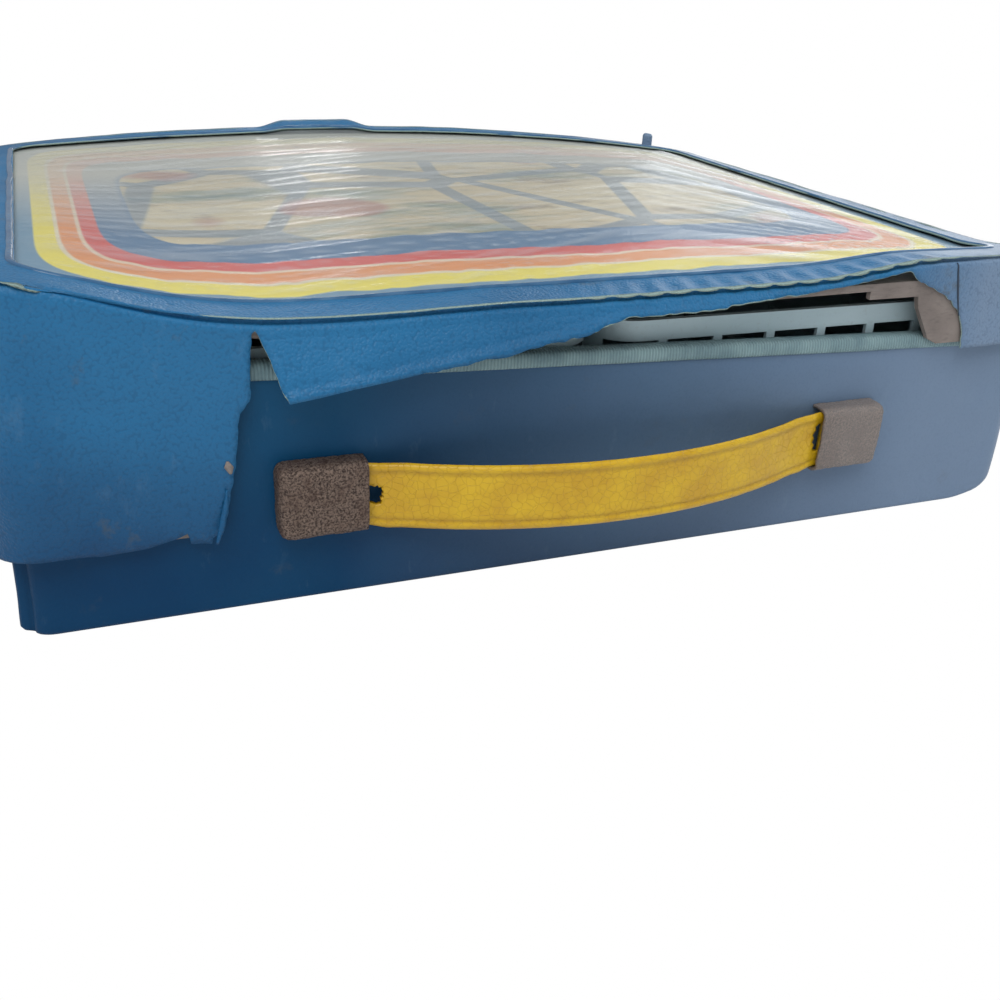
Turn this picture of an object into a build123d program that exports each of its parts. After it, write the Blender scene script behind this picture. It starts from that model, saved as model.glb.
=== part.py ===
# A carry case for toy cars: a cardboard tub and lid covered in blue vinyl, with a clear window over
# a printed card, four lattice trays inside and a strap handle. The case lies flat on its base, with
# the handle on the front wall, facing -Y. The lid's front skirt is torn open, as it is worn.
# Millimetres, +Z up, origin at the centre of the underside.
from build123d import *
from math import cos, radians, sin
import os

os.makedirs("parts", exist_ok=True)

# Tub
body_width = 340.0
body_depth = 264.0
rim_front_left = 79.0
rim_front_mid = 70.8
rim_front_right = 64.5
rim_back = 67.0
rim_back_mid = 67.2
body_corner = 12.0
base_round = 5.0
vinyl = 1.2
board = 3.2

# Hem tape over the tub's rim
hem_thick = 0.8
hem_proud = 0.3
hem_drop = 3.8
hem_inside_drop = 8.0

# Lid
lid_gap = 0.5
lid_board_thick = 2.0
lid_front_mid = 87.0
lid_back_left = 88.0
lid_back_mid = 99.0
lid_back_right = 84.0
skirt_low_left = 25.0
skirt_low_right = 29.0
skirt_low_front = 62.5
hinge_gap = 0.4
top_board_thick = 2.4
card_thick = 0.6
window_thick = 0.4
layer_gap = 0.05

# Heights along the lid's front edge, sprung up at its left corner, at shares of the half width
lid_front_line = (
    (-1.0, 101.5),
    (-0.814, 99.6),
    (-0.68, 91.8),
    (-0.546, 86.8),
    (-0.31, 86.2),
    (0.0, 86.9),
    (0.41, 88.4),
    (1.0, 89.4),
)

# Window in the lid
window_side_inset = 12.0
window_front_inset = 19.0
window_back_inset = 12.0
window_corner = 9.0
window_seam = 5.0
weld_width = 2.2
weld_height = 0.6

# Torn front skirt of the lid
lip_depth = 2.6
tear_top_x = -108.0
tear_low_x = -117.0
tear_tab_x = -127.0
wrap_x = 133.0
wrap_top_x = 104.0
torn_board_x = 92.0
torn_board_strip = 8.0
torn_board_neck_x = 113.0
torn_board_foot_x = 121.0
flap_thick = 1.1
flap_tilt = 24.0
flap_left_x = -106.0
flap_slant = 6.0
flap_depth = 20.0
flap_mid_x = -7.0
flap_mid_depth = 9.0
flap_tail_x = 106.0
flap_tail_depth = 3.0
flap_clear = 0.3

# Trays
tray_gap = 0.9
tray_wall = 1.4
tray_floor = 1.2
tray_corner = 14.0
tray_base_round = 6.0
tray_lift = 0.4
lower_tray_height = 35.4
upper_tray_top = 77.0
rim_band = 6.6
rim_thick = 2.2
bay_columns = 4
bay_rows = 3
row_wall_drop = 5.0
divider_thick = 1.6
column_rib_height = 10.0
rib_gap = 0.2
post_width = 3.2
lattice_low = 14.0

# Handle
handle_x = 1.4
cap_length = 26.0
cap_height = 22.6
cap_depth = 7.5
cap_wall = 1.1
cap_round = 3.2
cap_inner_x = 78.0
strap_clear = 0.3
handle_z = 34.5
strap_height = 19.8
strap_thick = 2.2
strap_from_wall = 4.4
strap_inside = 9.0
strap_bow = 16.0
strap_end_radius = 32.0
strap_joint_gap = 0.7
slot_length = 9.0
slot_height = 6.0
rivet_radius = 2.0
washer_radius = 7.0
washer_thick = 0.8

# Hinge tape and the pip at the lid's corner
hinge_tape_thick = 0.8
hinge_tape_height = 14.0
pip_radius = 2.6
pip_height = 6.0
pip_inset_x = 22.0
pip_inset_y = 4.0

# Reach of the blocks that trim the pieces
top_of_all = 130.0
warp_margin = 20.0

# Worked out from the sizes above
front_y = -body_depth / 2
back_y = body_depth / 2
lid_skirt = vinyl + lid_board_thick
lid_reach = hem_proud + lid_gap + lid_skirt
lid_width = body_width + 2 * lid_reach
lid_front_y = front_y - lid_reach
lid_depth = back_y - lid_front_y
lid_centre_y = (back_y + lid_front_y) / 2
lid_corner = body_corner + lid_reach
lid_back_low = rim_back + hinge_gap
window_top = vinyl + layer_gap
card_top = window_top + window_thick + layer_gap
top_board_top = card_top + card_thick + layer_gap
top_board_under = top_board_top + top_board_thick

def label_and_export(piece, name):
    """Name a finished piece and write it as one STEP file."""
    piece.part.label = name
    export_step(piece.part, f"parts/{name}.step")


def rounded_tub(inset):
    """A block of the tub's outline drawn in by inset, with rounded upright and bottom edges."""
    with BuildPart() as tub:
        with BuildSketch(Plane.XY.offset(inset)):
            RectangleRounded(body_width - 2 * inset, body_depth - 2 * inset, body_corner - inset)
        extrude(amount=top_of_all - inset)
        fillet(tub.faces().sort_by(Axis.Z)[0].edges(), base_round - inset)
    return tub.part


def tub_prism(inset):
    """A plain upright prism of the tub's outline drawn in by inset."""
    with BuildPart() as prism:
        with BuildSketch():
            RectangleRounded(body_width - 2 * inset, body_depth - 2 * inset, body_corner - inset)
        extrude(amount=top_of_all)
    return prism.part


def space_below(front, back, drop):
    """All the space below a warped surface, lowered by drop, from lines of heights at its two ends."""
    half = lid_width / 2 + warp_margin
    with BuildPart() as block:
        for y, heights in ((lid_front_y - warp_margin, front), (back_y + 1, back)):
            line = [(share * half, height - drop) for share, height in heights]
            with BuildSketch(Plane.XZ.offset(-y)):
                with BuildLine():
                    if len(line) > 3:
                        Spline(*line)
                    else:
                        ThreePointArc(*line)
                    Polyline(line[-1], (half, 0), (-half, 0), line[0])
                make_face()
        loft(ruled=True)
    return block.part


def below_lid_top(drop):
    """All the space below the lid's warped top, lowered by drop."""
    back = ((-1, lid_back_left), (0, lid_back_mid), (1, lid_back_right))
    return space_below(lid_front_line, back, drop)


def below_rim(drop):
    """All the space below the tub's rim, lowered by drop. The rim is nearly level along the back."""
    front = ((-1, rim_front_left), (0, rim_front_mid), (1, rim_front_right))
    back = ((-1, rim_back), (0, rim_back_mid), (1, rim_back))
    return space_below(front, back, drop)


def lid_outline(inset, low):
    """A prism of the lid's outline drawn in by inset, from the height low upwards."""
    with BuildPart() as prism:
        with BuildSketch(Plane.XY.offset(low)):
            with Locations((0, lid_centre_y)):
                RectangleRounded(lid_width - 2 * inset, lid_depth - 2 * inset, lid_corner - inset)
        extrude(amount=top_of_all - low)
    return prism.part


def window_prism(grow):
    """A prism through the lid of the window's outline, made larger all round by grow."""
    low_x = -lid_width / 2 + window_side_inset
    low_y = lid_front_y + window_front_inset
    high_y = back_y - window_back_inset
    with BuildPart() as prism:
        with BuildSketch():
            with Locations((0, (low_y + high_y) / 2)):
                RectangleRounded(-2 * low_x + 2 * grow, high_y - low_y + 2 * grow, window_corner + grow)
        extrude(amount=top_of_all)
    return prism.part


def lid_layer(outline, over, under):
    """A sheet of the lid's top with the given outline, between two depths below its surface."""
    above = below_lid_top(over)
    below = below_lid_top(under)
    with BuildPart() as sheet:
        add(outline)
        add(above, mode=Mode.INTERSECT)
        add(below, mode=Mode.SUBTRACT)
    return sheet


def region(x0, x1, y0, y1, z0, z1):
    """A plain block between two corners, used to trim other pieces."""
    with BuildPart() as block:
        with Locations(((x0 + x1) / 2, (y0 + y1) / 2, (z0 + z1) / 2)):
            Box(x1 - x0, y1 - y0, z1 - z0)
    return block.part


# Vinyl cover of the tub
cap_centre_x = cap_inner_x + cap_length / 2
rivet_x = cap_centre_x + cap_length / 4
with BuildPart() as rivet_holes:
    with BuildSketch(Plane.XZ.offset(vinyl - front_y)):
        with Locations((handle_x - rivet_x, handle_z), (handle_x + rivet_x, handle_z)):
            Circle(rivet_radius)
    extrude(amount=-2 * (vinyl + board))
tub_outside = rounded_tub(0)
tub_inside = rounded_tub(vinyl)
cover_limit = below_rim(hem_drop)
with BuildPart() as body_cover:
    add(tub_outside)
    add(tub_inside, mode=Mode.SUBTRACT)
    add(cover_limit, mode=Mode.INTERSECT)
    add(rivet_holes.part, mode=Mode.SUBTRACT)
label_and_export(body_cover, "body_cover")

# Cardboard of the tub: a base with turned-up edges and four walls
board_shell_in = rounded_tub(vinyl + board)
board_limit = below_rim(hem_thick)
base_split = vinyl + base_round
corner_split_y = body_depth / 2 - body_corner
far = body_width


def body_board(name, x0, x1, y0, y1, z0, z1):
    """One board of the tub, cut from the board shell."""
    with BuildPart() as panel:
        add(tub_inside)
        add(board_shell_in, mode=Mode.SUBTRACT)
        add(board_limit, mode=Mode.INTERSECT)
        add(region(x0, x1, y0, y1, z0, z1), mode=Mode.INTERSECT)
        add(rivet_holes.part, mode=Mode.SUBTRACT)
    label_and_export(panel, name)


body_board("body_base_board", -far, far, -far, far, 0, base_split)
body_board("body_front_board", -far, far, -far, -corner_split_y, base_split, top_of_all)
body_board("body_back_board", -far, far, corner_split_y, far, base_split, top_of_all)
body_board("body_left_board", -far, 0, -corner_split_y, corner_split_y, base_split, top_of_all)
body_board("body_right_board", 0, far, -corner_split_y, corner_split_y, base_split, top_of_all)

# Ribbed hem tape folded over the rim, outside, over the top and down inside
hem_inner_face = vinyl + board
board_space = tub_prism(vinyl)
inside_boards = tub_prism(hem_inner_face)
with BuildPart() as rim_boards:
    add(board_space)
    add(inside_boards, mode=Mode.SUBTRACT)
    add(board_limit, mode=Mode.INTERSECT)
with BuildPart() as under_outer_leg:
    add(cover_limit)
    add(board_space, mode=Mode.SUBTRACT)
with BuildPart() as under_inner_leg:
    add(inside_boards)
    add(below_rim(hem_inside_drop), mode=Mode.INTERSECT)
with BuildPart() as body_hem:
    add(tub_prism(-hem_proud))
    add(tub_prism(hem_inner_face + hem_thick), mode=Mode.SUBTRACT)
    add(below_rim(0), mode=Mode.INTERSECT)
    add(rim_boards.part, mode=Mode.SUBTRACT)
    add(under_outer_leg.part, mode=Mode.SUBTRACT)
    add(under_inner_leg.part, mode=Mode.SUBTRACT)
label_and_export(body_hem, "body_hem")

# Trays: two side by side in each of two layers
inner_inset = vinyl + board + hem_thick
tray_width = (body_width - 2 * inner_inset - 3 * tray_gap) / 2
tray_depth = body_depth - 2 * inner_inset - 2 * tray_gap
tray_centre_x = (tray_width + tray_gap) / 2
lower_tray_z = vinyl + board
upper_tray_z = lower_tray_z + lower_tray_height + tray_lift
bay_pitch_x = (tray_width - 2 * tray_wall) / bay_columns
bay_pitch_y = (tray_depth - 2 * tray_wall) / bay_rows
post_pitch_x = bay_pitch_x / 2


def tray_block(centre_x, inset, low, high):
    """A solid block of the tray's outline drawn in by inset, rounded along its bottom edge."""
    with BuildPart() as block:
        with BuildSketch(Plane.XY.offset(low)):
            with Locations((centre_x, 0)):
                RectangleRounded(tray_width - 2 * inset, tray_depth - 2 * inset, tray_corner - inset)
        extrude(amount=high - low)
        fillet(block.faces().sort_by(Axis.Z)[0].edges(), tray_base_round - inset)
    return block.part


def tray(name, side, low, high):
    """One tray with lattice ends and a rim band."""
    centre_x = side * tray_centre_x
    window_low = low + lattice_low
    window_high = high - rim_band
    window_height = window_high - window_low
    window_mid = (window_low + window_high) / 2
    outside = tray_block(centre_x, 0, low, high)
    pocket = tray_block(centre_x, tray_wall, low + tray_floor, high)
    with BuildPart() as piece:
        add(outside)
        add(pocket, mode=Mode.SUBTRACT)
        with Locations((centre_x, 0, window_mid)):
            with GridLocations(post_pitch_x, 0, 2 * bay_columns, 1):
                Box(post_pitch_x - post_width, 2 * tray_depth, window_height, mode=Mode.SUBTRACT)
        with BuildSketch(Plane.XY.offset(high - rim_band)):
            with Locations((centre_x, 0)):
                RectangleRounded(tray_width, tray_depth, tray_corner)
                RectangleRounded(
                    tray_width - 2 * rim_thick,
                    tray_depth - 2 * rim_thick,
                    tray_corner - rim_thick,
                    mode=Mode.SUBTRACT,
                )
        extrude(amount=rim_band)
    label_and_export(piece, name)


def tray_dividers(name, side, low, high):
    """The walls between a tray's rows and the low ribs between its bays, on the tray's floor."""
    centre_x = side * tray_centre_x
    floor_z = low + tray_floor
    row_wall_height = high - floor_z - row_wall_drop
    rib_length = bay_pitch_y - divider_thick - 2 * rib_gap
    pocket = tray_block(centre_x, tray_wall, floor_z, high)
    with BuildPart() as piece:
        with Locations((centre_x, 0, floor_z + row_wall_height / 2)):
            with GridLocations(0, bay_pitch_y, 1, bay_rows - 1):
                Box(tray_width, divider_thick, row_wall_height)
        with Locations((centre_x, 0, floor_z + column_rib_height / 2)):
            with GridLocations(bay_pitch_x, bay_pitch_y, bay_columns - 1, bay_rows):
                Box(divider_thick, rib_length, column_rib_height)
        add(pocket, mode=Mode.INTERSECT)
    label_and_export(piece, name)


for side, side_name in ((-1, "left"), (1, "right")):
    for layer, low, high in (
        ("lower", lower_tray_z, lower_tray_z + lower_tray_height),
        ("upper", upper_tray_z, upper_tray_top),
    ):
        tray(f"tray_{layer}_{side_name}", side, low, high)
        tray_dividers(f"tray_dividers_{layer}_{side_name}", side, low, high)

# Handle caps on the front wall, open towards the middle, each riveted through the wall
def handle_cap(name, side):
    """A pressed metal cap, hollow, with its mouth towards the strap."""
    with BuildPart() as cap:
        with BuildSketch(Plane.XZ.offset(-front_y)):
            with Locations((handle_x + side * cap_centre_x, handle_z)):
                RectangleRounded(cap_length, cap_height, cap_round)
        extrude(amount=cap_depth)
        fillet(cap.faces().sort_by(Axis.Y)[0].edges(), cap_round - cap_wall)
        with BuildSketch(Plane.XZ.offset(-front_y)):
            with Locations((handle_x + side * (cap_centre_x - cap_round), handle_z)):
                RectangleRounded(
                    cap_length + 2 * (cap_round - cap_wall),
                    strap_height + 2 * strap_clear,
                    cap_round - cap_wall,
                )
        extrude(amount=cap_depth - cap_wall, mode=Mode.SUBTRACT)
    label_and_export(cap, name)


def cap_rivets(name, side):
    """The rivet that holds a cap, its shank through the wall and a washer inside."""
    inner_face_y = front_y + vinyl + board
    with BuildPart() as rivet:
        with BuildSketch(Plane.XZ.offset(-inner_face_y)):
            with Locations((handle_x + side * rivet_x, handle_z)):
                Circle(washer_radius)
        extrude(amount=-washer_thick)
        with BuildSketch(Plane.XZ.offset(-inner_face_y)):
            with Locations((handle_x + side * rivet_x, handle_z)):
                Circle(rivet_radius)
        extrude(amount=vinyl + board + cap_depth - cap_wall)
    label_and_export(rivet, name)


for side, side_name in ((-1, "left"), (1, "right")):
    handle_cap(f"handle_cap_{side_name}", side)
    cap_rivets(f"handle_rivet_{side_name}", side)

# Strap in two halves, bowed away from the wall
strap_y = front_y - strap_from_wall
half_run = cap_inner_x - strap_joint_gap / 2
bow_angle = 2 * Vector(half_run, strap_bow).get_angle(Vector(1, 0))
strap_main_radius = half_run / sin(radians(bow_angle)) - strap_end_radius


def strap_half(name, side):
    """Half of the strap, from inside a cap to the middle, with the slot worn through by the cap."""
    end_x = side * (cap_inner_x + strap_inside)
    with BuildPart() as half:
        with BuildSketch(Plane((handle_x, 0, handle_z - strap_height / 2))):
            with BuildLine() as path:
                Line((end_x, strap_y), (side * cap_inner_x, strap_y))
                JernArc(
                    start=(side * cap_inner_x, strap_y),
                    tangent=(-side, 0),
                    radius=strap_end_radius,
                    arc_size=side * bow_angle,
                )
                JernArc(
                    start=path.line @ 1,
                    tangent=path.line % 1,
                    radius=strap_main_radius,
                    arc_size=-side * bow_angle,
                )
            trace(line_width=strap_thick)
        extrude(amount=strap_height)
        with Locations((handle_x + side * cap_inner_x, strap_y, handle_z)):
            Box(slot_length, 2 * cap_depth, slot_height, mode=Mode.SUBTRACT)
    label_and_export(half, name)


strap_half("handle_strap_left", -1)
strap_half("handle_strap_right", 1)

# Vinyl cover of the lid: its top, deep sides, and what is left of its front
lid_inner_space = lid_outline(vinyl, 0)
cover_top_block = below_lid_top(0)
cover_under_block = below_lid_top(vinyl)
with BuildPart() as lid_cover_inside:
    add(lid_inner_space)
    add(cover_under_block, mode=Mode.INTERSECT)
with BuildPart() as lid_lip_block:
    add(region(tear_top_x, wrap_top_x, lid_front_y - 1, front_y - vinyl / 2, 0, top_of_all))
    add(below_lid_top(lip_depth), mode=Mode.INTERSECT)
with BuildPart() as torn_edge:
    with BuildSketch(Plane.XZ.offset(-front_y)):
        with BuildLine():
            Polyline(
                (tear_top_x, lid_front_mid - lip_depth),
                (tear_top_x - 1, lid_front_mid - 18),
                (tear_top_x - 4, lid_front_mid - 22),
                (tear_low_x + 2, skirt_low_left + 15),
                (tear_low_x, skirt_low_left + 4),
                (tear_tab_x, skirt_low_left + 2),
                (tear_tab_x, 0),
                (wrap_x + 1, 0),
                (wrap_x + 1, skirt_low_front + 3),
                (wrap_x - 1, skirt_low_front + 9),
                (wrap_x - 7, skirt_low_front + 15),
                (wrap_x - 15, skirt_low_front + 20),
                (wrap_top_x, lid_front_mid - lip_depth),
                close=True,
            )
        make_face()
    extrude(amount=2 * lid_reach)
side_trim_y = back_y - lid_corner
window_hole = window_prism(0)
with BuildPart() as lid_cover:
    add(lid_outline(0, skirt_low_left))
    add(cover_top_block, mode=Mode.INTERSECT)
    add(lid_cover_inside.part, mode=Mode.SUBTRACT)
    add(window_hole, mode=Mode.SUBTRACT)
    add(lid_lip_block.part, mode=Mode.SUBTRACT)
    add(torn_edge.part, mode=Mode.SUBTRACT)
    add(region(0, far, -far, front_y + body_corner, 0, skirt_low_front), mode=Mode.SUBTRACT)
    add(region(0, far, -far, far, 0, skirt_low_right), mode=Mode.SUBTRACT)
    add(region(-far, far, side_trim_y, far, 0, lid_back_low), mode=Mode.SUBTRACT)
label_and_export(lid_cover, "lid_cover")

# Clear window, printed card and top board, one under the other
lid_window = lid_layer(window_prism(window_seam), window_top, window_top + window_thick)
label_and_export(lid_window, "lid_window")
picture_card = lid_layer(window_prism(window_seam), card_top, card_top + card_thick)
label_and_export(picture_card, "picture_card")
lid_top_board = lid_layer(lid_outline(vinyl, 0), top_board_top, top_board_under)
label_and_export(lid_top_board, "lid_top_board")

# Weld bead round the window
bead_over = below_lid_top(-weld_height)
bead_under = below_lid_top(-layer_gap)
with BuildPart() as window_weld_bead:
    add(window_prism(weld_width))
    add(window_hole, mode=Mode.SUBTRACT)
    add(bead_over, mode=Mode.INTERSECT)
    add(bead_under, mode=Mode.SUBTRACT)
label_and_export(window_weld_bead, "window_weld_bead")

# Cardboard in the lid's skirts
skirt_board_out = lid_outline(vinyl, 0)
skirt_board_in = lid_outline(lid_skirt, 0)
skirt_board_top = below_lid_top(top_board_under + layer_gap)


def lid_board(x0, x1, y0, y1, low):
    """One board of the lid's skirt."""
    with BuildPart() as panel:
        add(skirt_board_out)
        add(skirt_board_in, mode=Mode.SUBTRACT)
        add(skirt_board_top, mode=Mode.INTERSECT)
        add(region(x0, x1, y0, y1, low, top_of_all), mode=Mode.INTERSECT)
    return panel


corner_front_y = lid_front_y + lid_corner
skirt_hem = 2.0
left_board = lid_board(-far, 0, corner_front_y, side_trim_y, skirt_low_left + skirt_hem)
label_and_export(left_board, "lid_left_board")
right_board = lid_board(0, far, corner_front_y, side_trim_y, skirt_low_right + skirt_hem)
label_and_export(right_board, "lid_right_board")
back_board = lid_board(-far, far, side_trim_y, far, lid_back_low + hinge_gap)
label_and_export(back_board, "lid_back_board")
corner_board = lid_board(-far, tear_low_x - 1, -far, corner_front_y, skirt_low_left + skirt_hem)
label_and_export(corner_board, "lid_front_left_board")
torn_board_low = skirt_low_front + skirt_hem
right_end_board = lid_board(torn_board_x, far, -far, corner_front_y, torn_board_low)
with BuildPart() as torn_board:
    add(right_end_board.part)
    strip_low = lid_front_mid - torn_board_strip + lip_depth
    with BuildSketch(Plane.XZ.offset(-front_y)):
        with BuildLine():
            Polyline(
                (0, strip_low),
                (torn_board_neck_x - 1, strip_low),
                (torn_board_neck_x, strip_low - 4),
                (torn_board_foot_x - 1, torn_board_low + 2),
                (torn_board_foot_x + 3, torn_board_low),
                (torn_board_foot_x + 3, 0),
                (0, 0),
                close=True,
            )
        make_face()
    extrude(amount=2 * lid_reach, mode=Mode.SUBTRACT)
label_and_export(torn_board, "lid_front_right_board")

# Torn flap of the lid's front skirt, still joined at the crease and hanging outwards
flap_plane = Plane(
    origin=(0, lid_front_y, lid_front_mid - lip_depth),
    x_dir=(1, 0, 0),
    z_dir=(0, -cos(radians(flap_tilt)), sin(radians(flap_tilt))),
)
flap_space = below_lid_top(lip_depth + flap_clear)
flap_top = 8.0
with BuildPart() as lid_front_flap:
    with BuildSketch(flap_plane):
        with BuildLine():
            Polyline(
                (flap_left_x, flap_top),
                (flap_left_x + flap_slant, -flap_depth),
                (flap_mid_x, -flap_mid_depth),
                (flap_mid_x + 14, -flap_mid_depth / 2),
                (flap_tail_x, -flap_tail_depth),
                (flap_tail_x, flap_top),
                close=True,
            )
        make_face()
    extrude(amount=flap_thick)
    add(flap_space, mode=Mode.INTERSECT)
    add(region(-far, far, lid_front_y, far, 0, top_of_all), mode=Mode.SUBTRACT)
label_and_export(lid_front_flap, "lid_front_flap")

# Vinyl hinge tape, one leaf on the tub's back wall and one on the lid's
hinge_length = body_width - 2 * lid_corner
with BuildPart() as hinge_tape_body:
    with Locations((0, back_y + hinge_tape_thick / 2, rim_back - hinge_tape_height / 2)):
        Box(hinge_length, hinge_tape_thick, hinge_tape_height)
    add(body_hem.part, mode=Mode.SUBTRACT)
label_and_export(hinge_tape_body, "hinge_tape_body")
with BuildPart() as hinge_tape_lid:
    with Locations((0, back_y + hinge_tape_thick / 2, lid_back_low + hinge_tape_height / 2)):
        Box(hinge_length, hinge_tape_thick, hinge_tape_height)
label_and_export(hinge_tape_lid, "hinge_tape_lid")

# Small moulded pip standing on the lid's back right corner
pip_x = lid_width / 2 - pip_inset_x
pip_y = back_y - pip_inset_y
with BuildPart() as corner_pip:
    with BuildSketch(Plane.XY.offset(lid_back_right)):
        with Locations((pip_x, pip_y)):
            Circle(pip_radius)
    extrude(amount=3 * pip_height)
    add(below_lid_top(-pip_height), mode=Mode.INTERSECT)
    add(cover_top_block, mode=Mode.SUBTRACT)
    fillet(corner_pip.faces().sort_by(Axis.Z)[-1].edges(), pip_radius * 0.6)
label_and_export(corner_pip, "corner_pip")
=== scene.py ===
# The looks of a worn toy car carry case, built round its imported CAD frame: vinyl covers with their
# tears and creases, the clear window over its printed card, the hem tape, the handle and the finishes.
# Shape functions work in millimetres in the case's own frame, and meshes are made in metres.
from math import atan, cos, pi, radians, sin
import bmesh
import bpy
import numpy as np
from mathutils import Matrix, Vector, geometry, kdtree, noise


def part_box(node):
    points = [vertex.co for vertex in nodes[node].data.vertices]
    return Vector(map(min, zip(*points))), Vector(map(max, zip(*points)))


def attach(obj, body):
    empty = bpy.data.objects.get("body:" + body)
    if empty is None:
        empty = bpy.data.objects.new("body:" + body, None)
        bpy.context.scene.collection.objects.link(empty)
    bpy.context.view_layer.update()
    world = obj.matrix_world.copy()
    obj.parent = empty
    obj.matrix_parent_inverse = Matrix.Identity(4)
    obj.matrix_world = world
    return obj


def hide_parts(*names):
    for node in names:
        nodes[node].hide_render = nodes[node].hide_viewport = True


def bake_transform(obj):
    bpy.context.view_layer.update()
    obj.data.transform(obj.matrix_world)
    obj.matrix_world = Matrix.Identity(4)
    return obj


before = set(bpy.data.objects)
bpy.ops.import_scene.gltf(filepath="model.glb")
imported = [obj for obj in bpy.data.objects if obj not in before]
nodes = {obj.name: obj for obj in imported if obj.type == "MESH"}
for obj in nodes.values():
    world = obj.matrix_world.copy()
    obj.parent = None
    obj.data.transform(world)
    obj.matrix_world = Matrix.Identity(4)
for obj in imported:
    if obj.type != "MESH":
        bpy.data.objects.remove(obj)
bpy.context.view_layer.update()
MM = 0.001

# Camera, as fitted to the photograph: place in millimetres, angles in degrees
camera_place = (-154.1, -414.6, 174.5)
camera_yaw = 23.17
camera_pitch = -25.98
camera_roll = 3.22
camera_lens = 39.8
sensor = 36.0


def node_box(name):
    """Lowest and highest corner of a CAD node, in millimetres."""
    low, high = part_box(name)
    return low / MM, high / MM


# Sizes read from the frame
tub_low, tub_high = node_box("body_cover")
lid_low, lid_high = node_box("lid_cover")
bead_low, bead_high = node_box("window_weld_bead")
cap_low, cap_high = node_box("handle_cap_left")
right_cap_low, right_cap_high = node_box("handle_cap_right")
strap_low, strap_high = node_box("handle_strap_left")
tape_low, tape_high = node_box("hinge_tape_body")
lid_tape_high = node_box("hinge_tape_lid")[1]

# Sizes that the frame's boxes don't give
tub_corner = 12.0
tub_front_corner = 9.0
tub_bulge = 3.0
base_round = 5.0
lid_corner = 16.0
lid_front_corner = 13.0
lid_corner_lift = 4.6
lid_back_bump = 3.0
skirt_bulge = 4.5
bead_width = 2.2
window_corner = 9.0
window_front_corner = 12.0
window_seam = 5.0
vinyl = 1.2
lid_skin_thickness = 0.6
tub_skin_thickness = 1.0
cap_thickness = 1.0
hem_thickness = 0.5
warp_margin = 20.0
lid_front_line = ((-1.0, 102.2), (-0.814, 99.6), (-0.68, 91.8), (-0.546, 86.8), (-0.31, 86.2), (0.0, 86.9),
                  (0.41, 88.4), (1.0, 89.4))
lid_back_heights = (88.0, 99.0, 84.0)
rim_front_heights = (79.0, 70.8, 64.5)
rim_back_heights = (67.0, 67.2, 67.0)
hem_drop = 3.8
skirt_low_left = 25.0
skirt_low_right = 29.0
skirt_low_front = 62.5
lid_back_low = 67.4

tub_half = tub_high.x
tub_front = tub_low.y
tub_back = tub_high.y
lid_half = lid_high.x
lid_front = lid_low.y
lid_back = lid_high.y
window_half = bead_high.x - bead_width
window_front = bead_low.y + bead_width
window_back = bead_high.y - bead_width
warp_half = lid_half + warp_margin


def smooth(x, low, high):
    """0 below low and 1 above high, eased in between."""
    t = np.clip((np.asarray(x, float) - low) / (high - low), 0, 1)
    return t * t * (3 - 2 * t)


def hump(x, middle, width):
    """A bell of height 1 about the middle."""
    return np.exp(-(((np.asarray(x, float) - middle) / width) ** 2))


def profile_height(x, heights):
    """Height at x of the arc through the three heights at -warp_half, 0 and warp_half."""
    left, middle, right = heights
    t = np.asarray(x, float) / warp_half
    return middle + (right - left) / 2 * t + ((right + left) / 2 - middle) * t * t


def smooth_line(x, line):
    """Height at x of the smooth curve through points at shares of warp_half."""
    at = np.array([share * warp_half for share, _ in line])
    height = np.array([h for _, h in line])
    step = np.diff(at)
    count = len(at)
    system = np.eye(count)
    bend = np.zeros(count)
    for k in range(1, count - 1):
        system[k, k - 1:k + 2] = step[k - 1], 2 * (step[k - 1] + step[k]), step[k]
        bend[k] = 6 * ((height[k + 1] - height[k]) / step[k] - (height[k] - height[k - 1]) / step[k - 1])
    curve = np.linalg.solve(system, bend)
    x = np.clip(np.asarray(x, float), -warp_half, warp_half)
    k = np.clip(np.searchsorted(at, x) - 1, 0, count - 2)
    after = x - at[k]
    before = at[k + 1] - x
    gap = step[k]
    bow = (curve[k] * before ** 3 + curve[k + 1] * after ** 3) / (6 * gap)
    low = (height[k] / gap - curve[k] * gap / 6) * before
    high = (height[k + 1] / gap - curve[k + 1] * gap / 6) * after
    return bow + low + high


def share_back(y):
    """0 where the warp's front profile stands and 1 at its back profile."""
    front_y = lid_front - warp_margin
    return (np.asarray(y, float) - front_y) / (lid_back + 1 - front_y)


def lid_top(x, y):
    """Height of the lid's top, with its lifted front right corner and the bump in its back edge."""
    t = share_back(y)
    plain = smooth_line(x, lid_front_line) * (1 - t) + profile_height(x, lid_back_heights) * t
    corner = lid_corner_lift * smooth(x, 70, 118) * smooth(-np.asarray(y, float), 92, 136)
    bump_back = lid_back_bump * smooth(x, -56, -42) * (1 - smooth(x, -14, 0)) * smooth(y, 112, 130)
    return plain + corner + bump_back


def rim_top(x, y):
    """Height of the tub's rim."""
    t = share_back(y)
    return profile_height(x, rim_front_heights) * (1 - t) + profile_height(x, rim_back_heights) * t


def noise_field(points, scale, seed):
    """Smooth noise about 0 at the points, for features of about the given sizes along X, Y and Z."""
    stretch = np.broadcast_to(np.asarray(scale, float), (3,))
    offset = np.array((seed * 7.31, seed * 3.17, seed * 5.71))
    where = np.asarray(points, float) / stretch + offset
    return np.array([noise.noise(Vector(p)) for p in where])


def flat_noise(a, b, scale, seed):
    """Noise over two coordinates."""
    return noise_field(np.column_stack((a, b, np.zeros(len(a)))), scale, seed)


def running_length(points):
    """Length along a line of points, from 0 at the first."""
    steps = np.linalg.norm(np.diff(points, axis=0), axis=1)
    return np.concatenate(([0.0], np.cumsum(steps)))


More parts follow.
